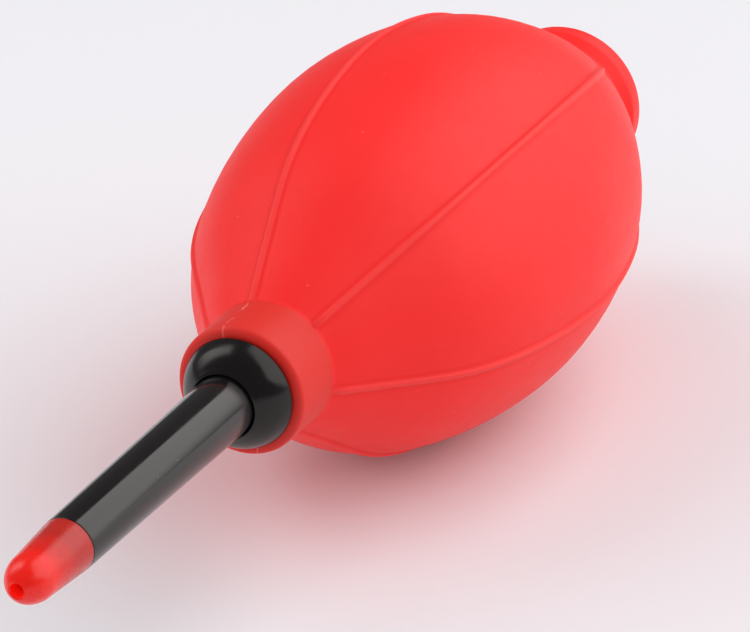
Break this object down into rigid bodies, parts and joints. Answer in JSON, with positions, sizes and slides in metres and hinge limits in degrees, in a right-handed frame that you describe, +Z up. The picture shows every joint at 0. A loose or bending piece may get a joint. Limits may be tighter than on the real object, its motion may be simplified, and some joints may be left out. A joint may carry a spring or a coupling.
{
  "type": "dust blower bulb",
  "caption": "Ribbed silicone squeeze bulb lying on its side, with a black push-in nozzle tube, a red jet tip and an inlet valve in its rear collar.",
  "frame": {"origin": "on the surface that the bulb lies on, under its axis, midway between the tip of the jet and the rim of the rear collar", "axes": "+Y along the bulb's axis towards the rear collar, +Z up, +X to the right of someone who looks along +Y"},
  "size_m": [0.055, 0.167, 0.0548],
  "materials": {
    "red_silicone": "soft matt red silicone with a light bloom at its edges",
    "black_plastic": "polished black injection moulding",
    "red_plastic": "translucent glossy red",
    "clear_silicone": "milky soft silicone"
  },
  "bodies": {
    "body": {"bulb": "red_silicone", "nozzle_ferrule": "black_plastic", "valve_body": "black_plastic", "valve_retainer": "black_plastic"},
    "wall_right": {"bulb_wall_right": "red_silicone"},
    "wall_left": {"bulb_wall_left": "red_silicone"},
    "nozzle": {"nozzle_tube": "black_plastic"},
    "tip": {"nozzle_tip": "red_plastic"},
    "valve_disc": {"valve_disc": "clear_silicone"}
  },
  "joints": [
    {"name": "squeeze_right", "type": "slide", "parent": "body", "child": "wall_right", "axis": [-0.9573, 0, -0.289], "range_m": [0, 0.009], "stiffness_N_per_m": 2000},
    {"name": "squeeze_left", "type": "slide", "parent": "body", "child": "wall_left", "axis": [0.9573, 0, 0.289], "range_m": [0, 0.009], "stiffness_N_per_m": 2000},
    {"name": "nozzle_pull", "type": "slide", "parent": "body", "child": "nozzle", "axis": [0, -1, 0], "range_m": [0, 0.021]},
    {"name": "tip_pull", "type": "slide", "parent": "nozzle", "child": "tip", "axis": [0, -1, 0], "range_m": [0, 0.0058]},
    {"name": "inlet_valve", "type": "slide", "parent": "body", "child": "valve_disc", "axis": [0, -1, 0], "range_m": [0, 0.0012]}
  ],
  "couplings": [
    {"joint": "squeeze_left", "follows": "squeeze_right", "ratio": 1}
  ]
}
